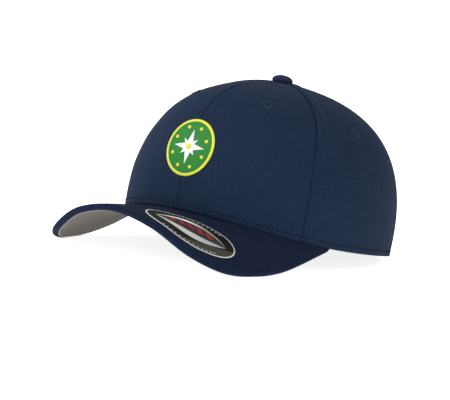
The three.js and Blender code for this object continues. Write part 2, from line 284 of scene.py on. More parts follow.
def flat_grid(columns, rows):
    """A flat cloth pattern as a square grid, with the share along each side of every vertex."""
    bm = bmesh.new()
    bmesh.ops.create_grid(bm, x_segments=columns, y_segments=rows, size=0.5)
    return bm, np.array([vert.co[:2] for vert in bm.verts]) + 0.5


def round_pattern(cells):
    """A square grid drawn round to a disc of radius 1."""
    bm, shares = flat_grid(cells, cells)
    x, y = (2 * shares - 1).T
    return bm, np.stack([x * np.sqrt(1 - y * y / 2), y * np.sqrt(1 - x * x / 2)], -1)


def spin_profile(profile, steps):
    """Turns a closed or axis-to-axis profile of (radius, height) in millimetres round the Z axis."""
    bm = bmesh.new()
    verts = [bm.verts.new((radius, 0, height)) for radius, height in profile]
    edges = [bm.edges.new(pair) for pair in zip(verts, verts[1:])]
    if profile[0][0] > 0 and profile[-1][0] > 0:
        edges.append(bm.edges.new((verts[-1], verts[0])))
    bmesh.ops.spin(bm, geom=verts + edges, cent=(0, 0, 0), axis=(0, 0, 1), angle=2 * math.pi,
                   steps=steps, use_merge=True)
    bmesh.ops.remove_doubles(bm, verts=bm.verts, dist=1e-4)
    bmesh.ops.recalc_face_normals(bm, faces=bm.faces)
    return bm


def move_verts(bm, points):
    """Moves every vertex of a pattern to its place on the cap."""
    for vert, point in zip(bm.verts, to_frame(points)):
        vert.co = point


def facing(point, normal):
    """A matrix that takes a shape made along Z to a place in the shared frame, facing a normal."""
    return Matrix.Translation(point) @ Vector(normal).to_track_quat("Z", "Y").to_matrix().to_4x4()


def lay_map(bm, name, uv):
    """Writes a pair of values at each vertex for a material to read."""
    layer = bm.loops.layers.uv.new(name)
    for face in bm.faces:
        for loop in face.loops:
            loop[layer].uv = uv[loop.vert.index]


def lay_cloth_map(bm, millimetres):
    """Writes where each vertex lies on the uncut cloth, in metres, for the weave to follow."""
    lay_map(bm, "cloth", millimetres * MM)


def turn_faces(bm, middle, away=1):
    """Turns a sheet to look away from a place in the shared frame or, with away at -1, towards it."""
    bmesh.ops.recalc_face_normals(bm, faces=bm.faces)
    if away * sum(face.normal.dot(face.calc_center_median() - Vector(middle)) for face in bm.faces) < 0:
        bmesh.ops.reverse_faces(bm, faces=bm.faces)


def line_sheet(bm, points):
    """Closes a sheet into a wall of cloth, with its inner face at places given on the cap."""
    number = bm.verts.layers.int.new("number")
    for vert in bm.verts:
        vert[number] = vert.index
    inner = to_frame(points)
    made = bmesh.ops.extrude_face_region(bm, geom=bm.faces[:], use_keep_orig=True)
    for vert in made["geom"]:
        if isinstance(vert, bmesh.types.BMVert):
            vert.co = inner[vert[number]]
    bm.verts.layers.int.remove(number)
    bmesh.ops.recalc_face_normals(bm, faces=bm.faces)


def finish_piece(name, bm, material, slot, replaces=()):
    """Makes a mesh a piece of the cap: its finish, the parts that it hides, and the body that it rides on."""
    mesh = mesh_of(name, bm)
    mesh.materials.append(material)
    mesh.polygons.foreach_set("use_smooth", [True] * len(mesh.polygons))
    piece = put_in_scene(name, mesh)
    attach(piece, BODY)
    if replaces:
        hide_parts(*replaces)
    return piece


def settle(piece):
    """Applies a piece's modifiers, so that its mesh is its final form."""
    graph = bpy.context.evaluated_depsgraph_get()
    final = bpy.data.meshes.new_from_object(piece.evaluated_get(graph))
    piece.modifiers.clear()
    old = piece.data
    piece.data = final
    bpy.data.meshes.remove(old)


def thicken(piece, thick):
    """Gives a sheet its thickness in millimetres, on the side that it looks away from."""
    wall = piece.modifiers.new("wall", "SOLIDIFY")
    wall.thickness = thick * MM
    wall.offset = -1.0
    wall.use_rim = True
    settle(piece)


def press_on_floor(piece):
    """Flattens cloth where it would reach below the floor."""
    for vert in piece.data.vertices:
        vert.co.z = max(vert.co.z, 0.0)


# Stitches

STITCH_FLATNESS = 0.6
LINE_POINTS = 721


def unit_stitch():
    """One stitch, a unit long, wide and high, as a small mesh to repeat."""
    bm = bmesh.new()
    bmesh.ops.create_uvsphere(bm, u_segments=6, v_segments=4, radius=0.5)
    bmesh.ops.rotate(bm, verts=bm.verts, matrix=Matrix.Rotation(math.pi / 2, 3, "Y"))
    return mesh_of("stitch", bm)


def sew_row(bm, unit, line, normals, sizes):
    """Adds stitches along a line in the shared frame, from their pitch, length and width in millimetres."""
    pitch, length, width = sizes
    steps = np.linalg.norm(np.diff(line, axis=0), axis=1)
    run = np.concatenate([[0], np.cumsum(steps)]) / MM
    count = max(2, int(run[-1] / pitch))

    def at(where, values):
        return np.array([np.interp(where, run, values[:, axis]) for axis in range(3)])

    for k in range(count):
        where = (k + 0.5) * run[-1] / count
        spot = at(where, line)
        forward = Vector(at(where + length / 2, line) - spot).normalized()
        side = Vector(at(where, normals)).cross(forward).normalized()
        top = forward.cross(side)
        turn = Matrix((forward * length, side * width, top * width * STITCH_FLATNESS)).transposed() * MM
        copy = unit.copy()
        copy.transform(Matrix.Translation(spot) @ turn.to_4x4())
        bm.from_mesh(copy)
        bpy.data.meshes.remove(copy)


def sew(name, rows, sizes, thread, slot):
    """A piece made of rows of stitches, each row a line of places and their normals on the cap."""
    unit = unit_stitch()
    bm = bmesh.new()
    for points, normals in rows:
        sew_row(bm, unit, to_frame(points), turn_normals(normals), sizes)
    bpy.data.meshes.remove(unit)
    press_on_floor(finish_piece(name, bm, thread, slot))


# Sizes and colours

def length_setting(name, description, default, low=0.0, high=1.0):
    return bpy.props.FloatProperty(
        name=name, description=description, default=default, min=low, max=high,
        subtype="DISTANCE", unit="LENGTH")


def share_setting(name, description, default, high=1.0):
    return bpy.props.FloatProperty(
        name=name, description=description, default=default, min=0.0, max=high, subtype="FACTOR")


def colour_setting(name, description, default):
    return bpy.props.FloatVectorProperty(
        name=name, description=description, default=default, min=0.0, max=1.0, size=3, subtype="COLOR")


class CapCloth(bpy.types.PropertyGroup):
    """Sizes and colours of the cap's cloth and sewing"""

    navy: colour_setting("Crown navy", "Colour of the crown's twill", (0.0098, 0.0195, 0.0434))
    # Painted shade: the peak's twill is a darker copy of the crown's navy, for the shade that falls on the
    # peak.
    peak_navy_painted_shade: colour_setting("Peak navy", "Colour of the peak's twill", (0.0067, 0.0115, 0.0300))
    button_navy: colour_setting("Button navy", "Colour of the button's twill", (0.0200, 0.0215, 0.0600))
    thread: colour_setting("Thread", "Colour of the eyelets' thread", (0.0125, 0.0290, 0.0640))
    # Painted shade: the stitching's own navy is made darker than the cloth, for the shade of its needle
    # holes.
    stitch: colour_setting("Stitching", "Colour of the rows of stitching", (0.0036, 0.0062, 0.0250))
    grey: colour_setting("Underside grey", "Colour of the cloth under the peak", (0.129, 0.120, 0.107))
    band: colour_setting("Band navy", "Colour of the sweatband", (0.0120, 0.0190, 0.0420))
    wall: length_setting("Crown wall", "Thickness of the crown's cloth", 0.0015, 0.0005, 0.0018)
    weave: length_setting("Weave", "Distance from one rib of the twill to the next", 0.0006, 0.0002, 0.003)
    seam_depth: length_setting("Seam depth", "How far the cloth turns in at a seam", 0.0011, 0.0, 0.0012)
    seam_width: length_setting("Seam width", "Half width of the turn at a seam", 0.0005, 0.0002, 0.002)
    tape_width: length_setting("Tape width", "Width of the seam tape that shows through", 0.0055, 0.002, 0.01)
    tape_height: length_setting("Tape height", "How far the seam tape raises the cloth", 0.0003, 0.0, 0.001)
    stitch_pitch: length_setting("Stitch pitch", "Distance from one stitch to the next", 0.0032, 0.001, 0.006)
    stitch_length: length_setting("Stitch length", "Length of thread that shows", 0.0018, 0.0005, 0.005)
    stitch_width: length_setting("Stitch width", "Thickness of the sewing thread", 0.00095, 0.0001, 0.0015)
    hem_row: length_setting("Hem row", "Height of the hem's stitching above the rim", 0.0036, 0.002, 0.02)


class CapBadge(bpy.types.PropertyGroup):
    """Sizes and colours of the embroidered badge"""

    half_width: length_setting("Half width", "Half the badge's width", 0.017, 0.005, 0.03)
    half_height: length_setting("Half height", "Half the badge's height", 0.0185, 0.005, 0.03)
    field: colour_setting("Field", "Colour of the badge's ground", (0.010, 0.172, 0.018))
    border: colour_setting("Border", "Colour of the border and the small dots", (0.62, 0.60, 0.03))
    star: colour_setting("Star", "Colour of the star", (0.80, 0.80, 0.76))


class CapSticker(bpy.types.PropertyGroup):
    """Sizes and colours of the oval sticker on the peak"""

    half_long: length_setting("Half length", "Half the sticker's long side", 0.0295, 0.01, 0.05)
    half_short: length_setting("Half width", "Half the sticker's short side", 0.0175, 0.005, 0.04)
    silver: colour_setting("Silver", "Colour of the foil", (0.62, 0.62, 0.60))
    black: colour_setting("Black", "Colour of the printed ground", (0.003, 0.003, 0.003))
    shadow: colour_setting("Shadow", "Darker foil between the crescents", (0.055, 0.050, 0.050))
    # Painted glare: an olive reflection painted over the black print at one end of the sticker.
    painted_glare: colour_setting("Olive", "Colour of the ground at one end", (0.045, 0.046, 0.032))
    red: colour_setting("Red", "Colour of the printed bars", (0.30, 0.022, 0.026))


class CapStage(bpy.types.PropertyGroup):
    """Floor, light and camera"""

    floor_size: length_setting("Floor", "Width of the floor", 40.0, 1.0, 100.0)
    lens: bpy.props.FloatProperty(
        name="Lens", description="Focal length", default=192.2, min=10, max=500, unit="CAMERA")
    sky: share_setting("Sky light", "Strength of the light from all round", 0.95, 5.0)
    zenith: share_setting("Zenith", "Share of the sky light that comes from straight above", 1.12, 2.0)
    glow: share_setting("Floor glow", "Light that the floor gives off itself, as a light table does", 0.84)
    key: bpy.props.FloatProperty(
        name="Key light", description="Power of the large light", default=18.0, min=0, unit="POWER")


# Materials

class Nodes:
    """Adds shader nodes to the tree of one material or world."""

    def __init__(self, tree):
        self.tree = tree

    def put(self, socket, value):
        """Links a socket to another one, or gives it a plain value."""
        if isinstance(value, bpy.types.NodeSocket):
            self.tree.links.new(value, socket)
        else:
            socket.default_value = value

    def add(self, kind, inputs=None, **settings):
        """A new node with its settings, and its inputs as values or links."""
        made = self.tree.nodes.new(kind)
        for key, value in settings.items():
            setattr(made, key, value)
        for key, value in (inputs or {}).items():
            self.put(made.inputs[key], value)
        return made

    def calc(self, operation, *values):
        """The result of a sum, such as MULTIPLY, on values or links."""
        return self.add("ShaderNodeMath", dict(enumerate(values)), operation=operation).outputs[0]

    def mix(self, share, first, second):
        return self.add("ShaderNodeMix", {0: share, 6: first, 7: second}, data_type="RGBA").outputs[2]

    def map(self, name):
        """The pair of values that a piece carries under a name."""
        return self.add("ShaderNodeUVMap", uv_map=name).outputs[0]

    def parts(self, vector):
        return self.add("ShaderNodeSeparateXYZ", {0: vector}).outputs

    def along(self, place, direction):
        """How far a place lies along a direction."""
        made = self.add("ShaderNodeVectorMath", {0: place, 1: direction}, operation="DOT_PRODUCT")
        return made.outputs["Value"]

    def fade(self, value, start, end, low=0.0, high=1.0):
        """Runs evenly from a low to a high output while a value runs from a start to an end."""
        limits = {"Value": value, "From Min": start, "From Max": end, "To Min": low, "To Max": high}
        return self.add("ShaderNodeMapRange", limits).outputs[0]

    def between(self, value, low, high):
        """1 where a value lies between two others, and 0 elsewhere."""
        above = self.calc("GREATER_THAN", value, low)
        return self.calc("MULTIPLY", above, self.calc("LESS_THAN", value, high))

    def stripes(self, value, count, threshold):
        """1 and 0 by turns along a value, with wider stripes of 1 for a lower threshold."""
        return self.calc("GREATER_THAN", self.calc("SINE", self.calc("MULTIPLY", value, count)), threshold)

    def ribs(self, place, direction, pitch):
        """Even ribs from 0 to 1 across a place on the cloth, in a direction and at a pitch in metres."""
        size = 2 * math.pi / pitch
        wave = self.calc("SINE", self.along(place, [part * size for part in direction]))
        return self.calc("MULTIPLY_ADD", wave, 0.5, 0.5)

    def noise(self, place, size, detail=2.0, stretch=(1.0, 1.0, 1.0)):
        """Soft noise with blotches of a size in metres, stretched along the cloth's threads."""
        scaled = self.add("ShaderNodeMapping", {"Vector": place, "Scale": stretch}).outputs[0]
        return self.add("ShaderNodeTexNoise", {
            "Vector": scaled, "Scale": 1 / size, "Detail": detail, "Roughness": 0.55}).outputs["Fac"]

    def relief(self, shader, height, strength, depth):
        """Raises the surface of a shader by a height from 0 to 1 at a depth in metres."""
        bump = self.add("ShaderNodeBump", {"Height": height, "Strength": strength, "Distance": depth})
        self.put(shader.inputs["Normal"], bump.outputs[0])


def new_material(name, **inputs):
    """A material with one shader, whose plain numbers sit on the shader's own sockets."""
    material = bpy.data.materials.new(name)
    material.use_nodes = True
    shader = material.node_tree.nodes["Principled BSDF"]
    for key, value in inputs.items():
        shader.inputs[key.replace("_", " ")].default_value = value
    return material, Nodes(material.node_tree), shader


def full(colour, scale=1.0):
    """A colour made lighter or darker, with its opacity."""
    return (*(min(1.0, part * scale) for part in colour), 1.0)


TWILL = {"diagonal": (0.89, 0.45, 0.0), "crossing": (-0.3, 0.95, 0.0), "crossing_pitch": 0.8,
         "dark": 0.62, "light": 1.55, "depth": 0.00012}
# Painted shade in the seams' grooves and a painted sheen on the pressed line: how strongly each darkens or
# lightens the twill.
SEAM_PAINTED_LIGHT = {"groove": 0.5, "groove_painted_shade": 0.15, "pressed": 1.0, "pressed_painted_sheen": 1.9}


def woven_material(name, colour, weave, slub=0.30, roughness=0.78, with_painted_light=False):
    """Twill with diagonal ribs, crossing threads, uneven slubs and slightly uneven dye, and if asked with
    painted shade in the seams and a painted sheen on the pressed line.
    """
    material, nodes, shader = new_material(
        name, Roughness=roughness, Sheen_Weight=0.012, Sheen_Roughness=0.5, Specular_IOR_Level=0.04)
    shader.inputs["Sheen Tint"].default_value = full([0.5 + 0.5 * part for part in colour])
    place = nodes.map("cloth")
    diagonal = nodes.ribs(place, TWILL["diagonal"], weave)
    crossing = nodes.ribs(place, TWILL["crossing"], weave * TWILL["crossing_pitch"])
    upright_slubs = nodes.noise(place, 0.0010, 2.0, (1.0, 0.16, 1.0))
    level_slubs = nodes.noise(place, 0.0012, 2.0, (0.16, 1.0, 1.0))
    dye = nodes.noise(place, 0.030, 3.0)
    slubs = nodes.calc("ADD", upright_slubs, level_slubs)
    threads = nodes.calc("MULTIPLY_ADD", diagonal, 0.6, nodes.calc("MULTIPLY", crossing, 0.4))
    uneven = nodes.calc("MULTIPLY_ADD", slubs, slub * 2, -slub * 2)
    shade = nodes.calc("MULTIPLY_ADD", threads, 0.24, uneven)
    shade = nodes.calc("ADD", shade, nodes.calc("MULTIPLY_ADD", dye, 0.3, 0.25))
    dyed = nodes.mix(shade, full(colour, TWILL["dark"]), full(colour, TWILL["light"]))
    # Painted shade and sheen: the map below darkens the cloth deep in the seams and lightens it on the
    # pressed line.
    if with_painted_light:
        painted_shade_and_sheen = nodes.parts(nodes.map("painted_shade_and_sheen"))
        groove = nodes.calc("MULTIPLY", painted_shade_and_sheen[0], SEAM_PAINTED_LIGHT["groove"])
        pressed = nodes.calc("MULTIPLY", painted_shade_and_sheen[1], SEAM_PAINTED_LIGHT["pressed"])
        # Painted shade: darker cloth in the seams' grooves, where shade falls.
        dyed = nodes.mix(groove, dyed, full(colour, SEAM_PAINTED_LIGHT["groove_painted_shade"]))
        # Painted sheen: the pressed ridge is painted lighter where it shines.
        dyed = nodes.mix(pressed, dyed, full(colour, SEAM_PAINTED_LIGHT["pressed_painted_sheen"]))
    nodes.put(shader.inputs["Base Color"], dyed)
    nodes.relief(shader, nodes.calc("MULTIPLY_ADD", slubs, 0.6, threads), 0.8, TWILL["depth"])
    return material


def thread_material(name, colour, roughness=0.45, shine=0.4):
    """Embroidery or sewing thread, with the twist of its plies."""
    material, nodes, shader = new_material(name, Roughness=roughness, Specular_IOR_Level=shine)
    place = nodes.add("ShaderNodeTexCoord").outputs["Object"]
    plies = nodes.noise(place, 0.0004, 3.0)
    dye = nodes.noise(place, 0.004, 2.0)
    shade = nodes.calc("MULTIPLY_ADD", plies, 0.7, nodes.calc("MULTIPLY_ADD", dye, 0.4, -0.05))
    nodes.put(shader.inputs["Base Color"], nodes.mix(shade, full(colour, 0.72), full(colour, 1.25)))
    nodes.relief(shader, plies, 0.5, 0.00008)
    return material


# Crown

PANEL = {"columns": 76, "rows": 104, "length": 130, "gather": 0.9, "crowd": 1.25}
# A seam is deep above, and lower down shallow and drawn in at each stitch.
SEAM = {"low": 0.3, "high": 0.8, "shallow": 0.5, "widen": 0.1, "stitched": 0.6, "sides": 2.0}
TAPE = {"start": 0.8, "soft": 1.2}
PRESSED = {"top": 5.0, "foot": 7.0, "width": 0.8, "height": 0.7, "fade": 0.42, "full": 0.85}
PUCKER = {"height": 0.08, "reach": 1.6, "stitches": 1.5}
HEM = {"groove": 0.22, "groove_width": 0.8, "swell": 0.2, "below_row": 0.5, "above_row": 1.5,
       "foot_turn": 0.55, "foot_width": 0.5}
RIPPLE = {"height": 0.10, "start": 2, "full": 14}
EYELET_DISH = {"depth": 0.5, "width": 4.8}
EYELET_CUT = {"radius": 2.0, "length": 12.0, "sides": 32}


def all_panels():
    """Each of the six panels, with 1 for the left side or -1 for the right, and its name."""
    for side, sign in SIDES.items():
        for panel in PANELS:
            yield panel, sign, f"{panel['name']}_{side}"


def seam_turn(seam, up):
    """The angle of a seam at a share of the way up the crown, in radians."""
    bowed = seam["angle"] + seam["bow"] * np.sin(2 * np.pi * up)
    return np.radians(bowed + seam["foot"] * (1 - smooth_step(up, 0, 0.25)))


def plan_reach(turn, up):
    """Distance from the middle of the crown, seen from above."""
    point = crown_point(turn, up)
    return np.hypot(point[..., 0], point[..., 1] - CROWN["apex_back"])


def seam_distances(turn, up):
    """Distance past each seam, in millimetres along the cloth."""
    side, reach = np.abs(turn), plan_reach(turn, up)
    return {name: (side - seam_turn(seam, up)) * reach for name, seam in SEAMS.items()}


def seam_groove(past, aloft):
    """How far the cloth is drawn in at the seams, from 0 to 1."""
    width = cloth("seam_width") * (1 + SEAM["widen"] * aloft)
    steepness = 2 + SEAM["sides"] * aloft
    grooves = [seam["depth"] * bump_at(past[name], width, steepness) for name, seam in SEAMS.items()]
    return np.max(grooves, axis=0)


def pressed_line(past, up):
    """Where the edge of the seam's inner cloth presses through beside the front side seam."""
    shown = smooth_step(up, PRESSED["fade"], PRESSED["full"])
    back = PRESSED["foot"] + (PRESSED["top"] - PRESSED["foot"]) * shown
    return bump_at(past["front_side"] - back, PRESSED["width"]) * shown


def crown_painted_light(turn, up):
    """How much painted shade darkens the cloth in the seams, and how much painted sheen lightens the pressed
    line, each from 0 to 1.
    """
    past = seam_distances(turn, up)
    aloft = smooth_step(up, SEAM["low"], SEAM["high"])
    return np.stack([aloft * seam_groove(past, aloft), pressed_line(past, up)], -1)


def crown_relief(turn, up):
    """How far seams, tape, puckers, hem, eyelet dishes and ripples raise the cloth from the plain crown."""
    past = seam_distances(turn, up)
    to_seam = np.min([np.abs(distance) for distance in past.values()], axis=0)
    aloft = smooth_step(up, SEAM["low"], SEAM["high"])
    stitches = 2 * np.pi * up * PANEL["length"] / cloth("stitch_pitch")
    stitched = 1 + SEAM["stitched"] * (1 - aloft) * np.cos(stitches)
    depth = cloth("seam_depth") * (SEAM["shallow"] + (1 - SEAM["shallow"]) * aloft) * stitched
    relief = -depth * seam_groove(past, aloft)
    tape = cloth("tape_width")
    for behind in past.values():
        taped = 1 - smooth_step(behind, tape - TAPE["soft"], tape + TAPE["soft"])
        relief += cloth("tape_height") * smooth_step(behind, 0, TAPE["start"]) * taped
    relief += PRESSED["height"] * pressed_line(past, up)
    relief += PUCKER["height"] * np.exp(-to_seam / PUCKER["reach"]) * np.cos(stitches / PUCKER["stitches"])
    height = crown_point(turn, up)[..., 2] - PROFILE["rim"](turn)
    row = cloth("hem_row")
    relief -= HEM["groove"] * bump_at(height - row, HEM["groove_width"])
    relief += HEM["swell"] * (1 - smooth_step(height, row - HEM["below_row"], row + HEM["above_row"]))
    relief -= HEM["foot_turn"] * bump_at(height - FOOT_GAP, HEM["foot_width"])
    for panel in PANELS:
        angle, eyelet_up = panel["eyelet"]
        eyelet = crown_point(math.radians(angle), eyelet_up)
        away = np.linalg.norm(crown_point(np.abs(turn), up) - eyelet, axis=-1)
        relief -= EYELET_DISH["depth"] * bump_at(away, EYELET_DISH["width"])
    ripple = np.sin(3.1 * turn + 9 * up) * np.sin(31 * up + 2 * turn) + 0.6 * np.sin(11 * turn - 17 * up)
    return relief + RIPPLE["height"] * ripple * smooth_step(to_seam, RIPPLE["start"], RIPPLE["full"])


def panel_pattern(panel, sign):
    """One panel of the crown: shaped cloth outside, its sewn edges turned in, over a plain inner face."""
    bm, shares = flat_grid(PANEL["columns"], PANEL["rows"])
    if sign < 0:
        shares[:, 0] = 1 - shares[:, 0]
    start, end = SEAMS[panel["from"]], SEAMS[panel["to"]]
    across = shares[:, 0] - PANEL["gather"] * np.sin(2 * np.pi * shares[:, 0]) / (2 * np.pi)
    foot = up_at_height(np.radians(start["angle"] + (end["angle"] - start["angle"]) * across), FOOT_GAP)
    up = foot + (CROWN["ring"] - foot) * shares[:, 1] ** PANEL["crowd"]
    left, right = seam_turn(start, up), seam_turn(end, up)
    turn = sign * (left + (right - left) * across)
    from_middle = turn - sign * (left + right) / 2
    move_verts(bm, on_crown(turn, up, crown_relief(turn, up)))
    lay_cloth_map(bm, np.stack([from_middle * plan_reach(turn, up), up * PANEL["length"]], -1))
    # Painted shade for the seams and painted sheen for the pressed line, as a map for the twill.
    lay_map(bm, "painted_shade_and_sheen", crown_painted_light(turn, up))
    line_sheet(bm, on_crown(turn, up, np.full(len(up), -cloth("wall"))))
    return bm


def eyelet_place(panel, sign):
    """Where a panel's eyelet sits in the shared frame, and which way it faces."""
    angle, up = panel["eyelet"]
    turn = sign * math.radians(angle)
    return to_frame(crown_point(turn, up)), turn_normals(crown_normal(turn, up))


def eyelet_cutter(point, normal):
    """A short rod through the cloth where an eyelet is worked."""
    bm = bmesh.new()
    radius, length = EYELET_CUT["radius"] * MM, EYELET_CUT["length"] * MM
    bmesh.ops.create_cone(bm, cap_ends=True, segments=EYELET_CUT["sides"], radius1=radius, radius2=radius,
                          depth=length, matrix=facing(point, normal))
    return put_in_scene("eyelet_cutter", mesh_of("eyelet_cutter", bm))


class CapPanels(bpy.types.Operator):
    """Sew the crown's six panels"""

    bl_idname = "cap.panels"
    bl_label = "Crown panels"

    def execute(self, context):
        settings = context.scene.cap_cloth
        # The crown's twill carries painted shade in the seams and a painted sheen on the pressed line.
        twill = woven_material("navy twill", settings.navy, settings.weave, with_painted_light=True)
        for panel, sign, name in all_panels():
            node = f"panel_{name}"
            piece = finish_piece(f"{node}_cloth", panel_pattern(panel, sign), twill, "navy_twill", [node])
            cutter = eyelet_cutter(*eyelet_place(panel, sign))
            cut = piece.modifiers.new("eyelet", "BOOLEAN")
            cut.operation = "DIFFERENCE"
            cut.solver = "EXACT"
            cut.object = cutter
            settle(piece)
            press_on_floor(piece)
            bpy.data.objects.remove(cutter)
        return {"FINISHED"}


class CapStitches(bpy.types.Operator):
    """Sew the row of stitches round the hem"""

    bl_idname = "cap.stitches"
    bl_label = "Stitching"

    def execute(self, context):
        sizes = [cloth(size) for size in ("stitch_pitch", "stitch_length", "stitch_width")]
        # Sewing thread, darkened as painted shade for the needle holes along the hem's row.
        thread = thread_material("navy sewing thread", context.scene.cap_cloth.stitch, 0.7, 0.08)
        turn = np.linspace(-math.pi, math.pi, LINE_POINTS)
        up = up_at_height(turn, cloth("hem_row"))
        line = on_crown(turn, up, crown_relief(turn, up) + sizes[2] * 0.15)
        sew("hem_stitching", [(line, crown_normal(turn, up))], sizes, thread, "navy_twill")
        return {"FINISHED"}


# Eyelets and button

EYELET = {"radius": 3.9, "hole": 1.25, "rise": 0.75, "inner": -2.5,
          "threads": 28, "thread_rise": 0.3, "twist": 0.25, "uneven": 0.03}
BUTTON = {"radius": 6.85, "height": 4.9, "shank": 3.2, "shank_depth": 2.4, "lean": 3.5, "steps": 72,
          "shoulder": 0.28, "folds": 9, "fold_depth": 0.10, "fold_start": 0.72}
# Section of the button's lower edge, in shares of its radius and height, from the shoulder inwards.
BUTTON_SKIRT = [(1, BUTTON["shoulder"]), (0.98, 0.14), (0.92, 0.02), (0.86, -0.14)]


def eyelet_profile():
    """Section of a worked eyelet: a padded ring of thread over the cloth, and a flatter one inside."""
    hole, radius, rise, inner = EYELET["hole"], EYELET["radius"], EYELET["rise"], EYELET["inner"]
    middle, half = (radius + hole) / 2, (radius - hole) / 2
    bends = [math.pi * k / 10 for k in range(11)]
    ring = [(middle - half * math.cos(bend), rise * math.sin(bend) ** 0.8) for bend in bends]
    neck = [(2.3, -0.05), (1.9, -0.3), (1.9, inner + 0.3)]
    return [(hole, inner - 0.3), *ring, *neck, (2.9, inner), (2.4, inner - 0.5)]


class CapEyelets(bpy.types.Operator):
    """Work the six eyelets in satin stitch"""

    bl_idname = "cap.eyelets"
    bl_label = "Eyelets"

    def execute(self, context):
        thread = thread_material("eyelet thread", context.scene.cap_cloth.thread, 0.5, 0.12)
        for panel, sign, name in all_panels():
            bm = spin_profile(eyelet_profile(), EYELET["threads"] * 4)
            for vert in bm.verts:
                x, y, z = vert.co
                angle = math.atan2(y, x) + EYELET["twist"] * (math.hypot(x, y) - EYELET["hole"])
                rise = max(0.0, min(1.0, z / EYELET["rise"]))
                vert.co.z += EYELET["thread_rise"] * ridges(EYELET["threads"] * angle / (2 * math.pi)) * rise
                uneven = 1 + EYELET["uneven"] * math.sin(5 * angle + sign) * rise
                vert.co.x, vert.co.y = x * uneven, y * uneven
            point, normal = eyelet_place(panel, sign)
            seat = facing(point - normal * EYELET_DISH["depth"] * MM, normal)
            bmesh.ops.transform(bm, matrix=seat @ Matrix.Scale(MM, 4), verts=bm.verts)
            node = f"eyelet_{name}"
            finish_piece(f"{node}_thread", bm, thread, "eyelet_thread", [node])
        return {"FINISHED"}


def button_profile():
    """Section of the button: a dome from its top to its shoulder, the skirt below, and the shank."""
    radius, height, shoulder = BUTTON["radius"], BUTTON["height"], BUTTON["shoulder"]
    shank, foot = BUTTON["shank"], -BUTTON["shank_depth"]
    bends = [math.pi / 2 * k / 16 for k in range(1, 16)]
    dome = [(math.sin(bend), shoulder + (1 - shoulder) * math.cos(bend)) for bend in bends]
    outside = [(radius * out, height * up) for out, up in ((0, 1), *dome, *BUTTON_SKIRT)]
    return [*outside, (shank, CLOTH_GAP), (shank, foot), (0, foot)]


class CapButton(bpy.types.Operator):
    """Cover the button on top of the crown"""

    bl_idname = "cap.button"
    bl_label = "Button"

    def execute(self, context):
        settings = context.scene.cap_cloth
        bm = spin_profile(button_profile(), BUTTON["steps"])
        lay_cloth_map(bm, np.array([vert.co[:2] for vert in bm.verts]))
        for vert in bm.verts:
            x, y, _ = vert.co
            fold = math.sin(BUTTON["folds"] * math.atan2(y, x) + 0.7)
            out = math.hypot(x, y) / BUTTON["radius"]
            vert.co.z -= BUTTON["fold_depth"] * fold * smooth_step(out, BUTTON["fold_start"], 1.0)
        lean = math.radians(BUTTON["lean"])
        seat = facing(to_frame(APEX), turn_normals(np.array([0, -math.sin(lean), math.cos(lean)])))
        bmesh.ops.transform(bm, matrix=seat @ Matrix.Scale(MM, 4), verts=bm.verts)
        twill = woven_material("button twill", settings.button_navy, settings.weave)
        finish_piece("button_cloth", bm, twill, "navy_twill", ["button"])
        return {"FINISHED"}


# Peak

PEAK_GRID = {"columns": 150, "top_rows": 120, "under_rows": 130}
PEAK_ROLL = {"inset": 1.9, "beyond": 0.5, "half_depth": 2.05, "steps": 12, "least_reach": 3.8}
PEAK_CORE = {"hem": 2.6, "under_edge": 3.0, "under_depth": 3.0,
             "inside": -2.3, "ridge_in": -1.6, "ridge_out": -1.45, "ridge": 0.45, "longer": 1.01}
UNDER = {"bottom": 4.0, "wall": 0.6, "short": 0.96, "groove_share": 0.5,
         "border": 3.2, "widest_border": 0.9, "edge_turn": 0.4, "edge_start": 0.985}
PEAK_ROWS = {"count": 7, "first": 7.5, "spacing": 8.5, "groove": 0.12, "groove_width": 0.8, "clear": 3.0,
             "pitch": 1.1, "length": 0.72, "paler": 1.35}
EDGING = {"in": 0.3, "pitch": 0.8, "length": 1.2, "width": 1.2, "paler": 2.4}
PEAK_TAPER = {"start": 0.86, "thin": 0.45}


def peak_stations():
    """The peak's section, a closed loop: share of the way out, inset from the edge, and depth."""
    inset, half = PEAK_ROLL["inset"], PEAK_ROLL["half_depth"]
    under_edge, under_depth = PEAK_CORE["under_edge"], PEAK_CORE["under_depth"]
    ridge = [(PEAK_CORE[place], 0.0, -PEAK_CORE["ridge"]) for place in ("inside", "ridge_in")]
    face = [(share, inset, 0.0) for share in np.linspace(0, 1, PEAK_GRID["top_rows"])]
    top = [*ridge, (PEAK_CORE["ridge_out"], 0.0, 0.0), *face]
    turns = [math.pi * k / PEAK_ROLL["steps"] for k in range(1, PEAK_ROLL["steps"])]
    swing = inset + PEAK_ROLL["beyond"]
    roll = [(1, inset - swing * math.sin(bend), half - half * math.cos(bend)) for bend in turns]
    fold = [(1, inset, 2 * half), (1, PEAK_CORE["hem"], 2 * half), (1, under_edge, under_depth)]
    back = [(share, under_edge, under_depth) for share in (0.75, 0.5, 0.25, 0)]
    inside = [(-1, 0, under_depth), (PEAK_CORE["inside"], 0, under_depth)]
    return np.array([*top, *roll, *fold, *back, *inside, top[0]])


def peak_reach(turn):
    """Distance from the rim to the peak's edge."""
    return np.maximum(np.linalg.norm(peak_point(turn, 1.0) - peak_point(turn, 0.0), axis=-1), 0.1)


def stitch_rows():
    """How far in from the peak's edge the rows of stitching lie."""
    return [PEAK_ROWS["first"] + PEAK_ROWS["spacing"] * k for k in range(PEAK_ROWS["count"])]


def row_grooves(turn, out):
    """How far the rows of stitching draw the peak's cloth in."""
    from_edge = (1 - out) * peak_reach(turn)
    width = PEAK_ROWS["groove_width"]
    return PEAK_ROWS["groove"] * sum(bump_at(from_edge - row, width) for row in stitch_rows())


